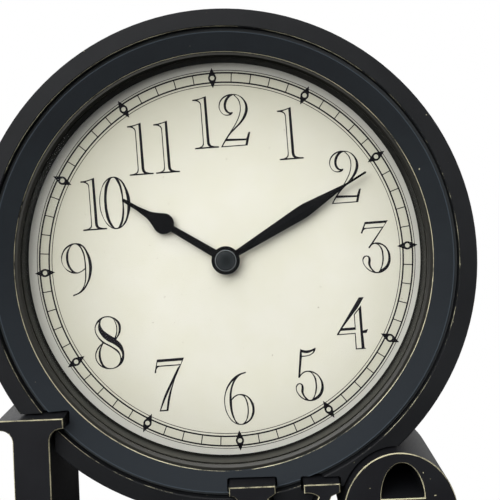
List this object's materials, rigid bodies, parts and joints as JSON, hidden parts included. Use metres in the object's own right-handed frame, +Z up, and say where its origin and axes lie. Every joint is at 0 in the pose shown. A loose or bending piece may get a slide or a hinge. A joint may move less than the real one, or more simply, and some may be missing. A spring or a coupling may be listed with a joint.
{
  "type": "desk pendulum clock",
  "caption": "Round black board-cased desk clock with a cream dial and two hands, standing on cut-out block supports, with a short pendulum below the drum.",
  "frame": {"origin": "on the table, under the middle of the object's box", "axes": "+X to the right seen from the front, +Y to the back, +Z up"},
  "size_m": [0.254, 0.06, 0.285],
  "materials": {
    "black_board": "satin black paint on fibreboard, edges rubbed through",
    "slate_board": "slate black paint on fibreboard",
    "lip_plastic": "gloss black",
    "clear_lens": "clear",
    "dial_paper": "cream printed paper",
    "fibreboard": "bare fibreboard",
    "softwood": "planed softwood",
    "hardboard": "dark hardboard, smooth side out",
    "dark_board": "matt black",
    "plated_steel": "zinc plated",
    "felt": "black felt",
    "black_abs": "fine moulded texture",
    "nylon": "moulded natural nylon",
    "black_rubber": "moulded",
    "brass": "polished",
    "silicon_steel": "rolled",
    "green_board": "solder resist",
    "copper_wire": "enamelled winding wire",
    "battery_sleeve": "printed sleeve",
    "nickel": "nickel plated",
    "magnet_ferrite": "sintered ferrite",
    "hand_black": "gloss black enamel",
    "lead_insulation": "black sleeving"
  },
  "bodies": {
    "case": {"drum_ring": "black_board", "bezel_ring": "slate_board", "lip_ring": "lip_plastic", "lens": "clear_lens", "lens_spacer": "lip_plastic", "dial_face": "dial_paper", "dial_board": "fibreboard", "corner_blocks": "softwood", "back_panel": "hardboard", "back_panel_screws": "plated_steel", "left_column": "black_board", "centre_bracket": "black_board", "right_ring": "black_board", "right_ring_backs": "dark_board", "support_screws": "plated_steel", "foot_pads": "felt", "movement_front_case": "black_abs", "movement_back_case": "black_abs", "rubber_washer": "black_rubber", "nut_washer": "brass", "mounting_nut": "brass", "circuit_board": "green_board", "quartz_crystal": "nickel", "stator": "silicon_steel", "coil_bobbin": "nylon", "coil_winding": "copper_wire", "contact_positive": "nickel", "contact_negative": "nickel", "drive_front_case": "black_abs", "drive_back_case": "black_abs", "drive_coil": "copper_wire", "drive_leads": "lead_insulation", "pivot_pin": "plated_steel"},
    "minute_group": {"minute_cannon": "nylon", "minute_hand": "hand_black", "hand_cap": "hand_black"},
    "motion_group": {"motion_wheel": "nylon", "set_knob": "black_abs"},
    "hour_group": {"hour_wheel": "nylon", "hour_hand": "hand_black"},
    "rotor_group": {"rotor": "nylon"},
    "fifth_group": {"fifth_wheel": "nylon"},
    "second_group": {"second_wheel": "nylon"},
    "third_group": {"third_wheel": "nylon"},
    "centre_group": {"centre_wheel": "nylon"},
    "battery_group": {"battery": "battery_sleeve"},
    "pendulum_group": {"pendulum_hanger": "nylon", "hanger_magnet": "magnet_ferrite", "pendulum_rod": "brass", "pendulum_bob": "brass", "bob_screw": "brass"}
  },
  "joints": [
    {"name": "minute_turn", "type": "hinge", "parent": "case", "child": "minute_group", "pos_m": [0.00085, 0, 0.1577], "axis": [0, 1, 0], "continuous": true},
    {"name": "motion_turn", "type": "hinge", "parent": "case", "child": "motion_group", "pos_m": [-0.01115, 0, 0.1577], "axis": [0, 1, 0], "continuous": true},
    {"name": "hour_turn", "type": "hinge", "parent": "case", "child": "hour_group", "pos_m": [0.00085, 0, 0.1577], "axis": [0, 1, 0], "continuous": true},
    {"name": "rotor_turn", "type": "hinge", "parent": "case", "child": "rotor_group", "pos_m": [0.01513, 0, 0.16179], "axis": [0, 1, 0], "continuous": true},
    {"name": "fifth_turn", "type": "hinge", "parent": "case", "child": "fifth_group", "pos_m": [0.01513, 0, 0.17241], "axis": [0, 1, 0], "continuous": true},
    {"name": "second_turn", "type": "hinge", "parent": "case", "child": "second_group", "pos_m": [0.00888, 0, 0.17241], "axis": [0, 1, 0], "continuous": true},
    {"name": "third_turn", "type": "hinge", "parent": "case", "child": "third_group", "pos_m": [-0.0011, 0, 0.16878], "axis": [0, 1, 0], "continuous": true},
    {"name": "centre_turn", "type": "hinge", "parent": "case", "child": "centre_group", "pos_m": [0.00085, 0, 0.1577], "axis": [0, 1, 0], "continuous": true},
    {"name": "battery_slide", "type": "slide", "parent": "case", "child": "battery_group", "axis": [0, 1, 0], "range_m": [0, 0.03]},
    {"name": "pendulum_swing", "type": "hinge", "parent": "case", "child": "pendulum_group", "pos_m": [-0.041, 0, 0.108], "axis": [0, 1, 0], "range_deg": [-6, 6]}
  ],
  "couplings": [
    {"joint": "motion_turn", "follows": "minute_turn", "ratio": -0.33333},
    {"joint": "hour_turn", "follows": "minute_turn", "ratio": 0.083333},
    {"joint": "fifth_turn", "follows": "rotor_turn", "ratio": -0.13333},
    {"joint": "second_turn", "follows": "rotor_turn", "ratio": 0.033333},
    {"joint": "third_turn", "follows": "rotor_turn", "ratio": -0.0044444},
    {"joint": "centre_turn", "follows": "rotor_turn", "ratio": 0.00055556}
  ]
}
